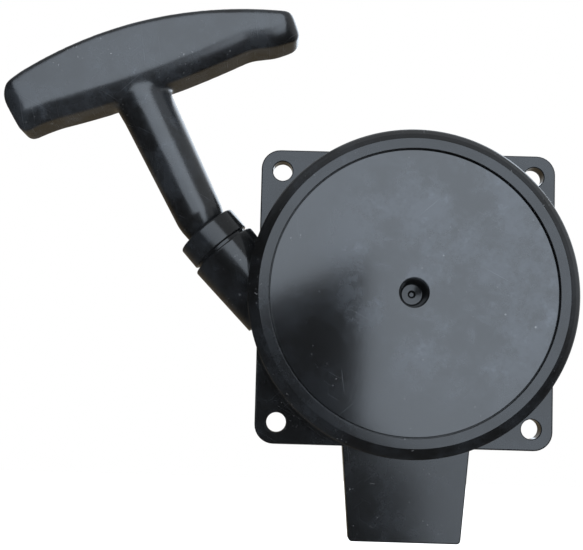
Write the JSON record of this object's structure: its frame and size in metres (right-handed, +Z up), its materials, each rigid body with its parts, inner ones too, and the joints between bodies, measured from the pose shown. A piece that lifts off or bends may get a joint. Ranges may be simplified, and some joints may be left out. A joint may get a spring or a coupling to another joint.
{
  "type": "recoil starter",
  "caption": "Square-flanged recoil starter with a round drum, an angled rope outlet and a pull handle, and its reel, spring and pawls inside.",
  "frame": {"origin": "centre of the four-bolt pattern, on the mounting face (the flange's back)", "axes": "+Z up with the tongue down, +Y along the crank axis into the engine, the front disc facing -Y"},
  "size_m": [0.2212, 0.0356, 0.2048],
  "materials": {
    "housing_plastic": "moulded black plastic, semi-gloss, with handling smudges",
    "disc_plastic": "moulded black plastic, smooth, with fine scratches and cloudy smudges",
    "guide_plastic": "moulded black plastic, semi-gloss",
    "handle_plastic": "moulded black plastic, semi-gloss",
    "reel_nylon": "glass-filled nylon",
    "rope": "braided nylon",
    "brass": "turned",
    "spring_steel": "blued and oiled",
    "zinc_steel": "zinc plated",
    "pawl_steel": "pressed, tumbled"
  },
  "bodies": {
    "case": {"housing": "housing_plastic", "front_disc": "disc_plastic", "rope_guide": "guide_plastic", "thread_insert": "brass", "recoil_spring": "spring_steel", "center_screw": "zinc_steel", "friction_washer": "zinc_steel", "rope_lead": "rope"},
    "reel_assembly": {"reel": "reel_nylon", "reel_bush": "brass", "rope_winding": "rope", "reel_knot": "rope", "friction_spring": "spring_steel", "pawl_pin_a": "zinc_steel", "pawl_pin_b": "zinc_steel", "pawl_spring_a": "spring_steel", "pawl_spring_b": "spring_steel"},
    "guide": {"guide_plate": "zinc_steel"},
    "pawl_1": {"pawl_a": "pawl_steel"},
    "pawl_2": {"pawl_b": "pawl_steel"},
    "rope_end": {"rope_washer": "zinc_steel", "handle_knot": "rope"},
    "handle": {"handle_grip": "handle_plastic", "grip_plug": "handle_plastic"}
  },
  "joints": [
    {"name": "reel_spin", "type": "hinge", "parent": "case", "child": "reel_assembly", "pos_m": [0, 0, 0], "axis": [0, 1, 0], "range_deg": [0, 1440], "stiffness_Nm_per_rad": 0.025, "springref_deg": -802.14, "deforming": ["recoil_spring"]},
    {"name": "handle_pull", "type": "slide", "parent": "case", "child": "rope_end", "axis": [-0.4587, 0, 0.8886], "range_m": [0, 0.88], "deforming": ["rope_lead"]},
    {"name": "handle_swivel", "type": "hinge", "parent": "rope_end", "child": "handle", "pos_m": [-0.07924, -0.015, 0.02422], "axis": [-0.4587, 0, 0.8886], "continuous": true},
    {"name": "guide_turn", "type": "hinge", "parent": "reel_assembly", "child": "guide", "pos_m": [0, 0, 0], "axis": [0, -1, 0], "range_deg": [0, 20], "stiffness_Nm_per_rad": 0.002, "springref_deg": -28.65},
    {"name": "pawl_a_swing", "type": "hinge", "parent": "reel_assembly", "child": "pawl_1", "pos_m": [0.022, 0, 0], "axis": [0, -1, 0], "range_deg": [0, 28], "deforming": ["pawl_spring_a"]},
    {"name": "pawl_b_swing", "type": "hinge", "parent": "reel_assembly", "child": "pawl_2", "pos_m": [-0.022, 0, 0], "axis": [0, -1, 0], "range_deg": [0, 28], "deforming": ["pawl_spring_b"]}
  ],
  "couplings": [
    {"joint": "handle_pull", "follows": "reel_spin", "m_per_rad": 0.035},
    {"joint": "pawl_a_swing", "follows": "guide_turn", "ratio": 1.4},
    {"joint": "pawl_b_swing", "follows": "guide_turn", "ratio": 1.4}
  ]
}
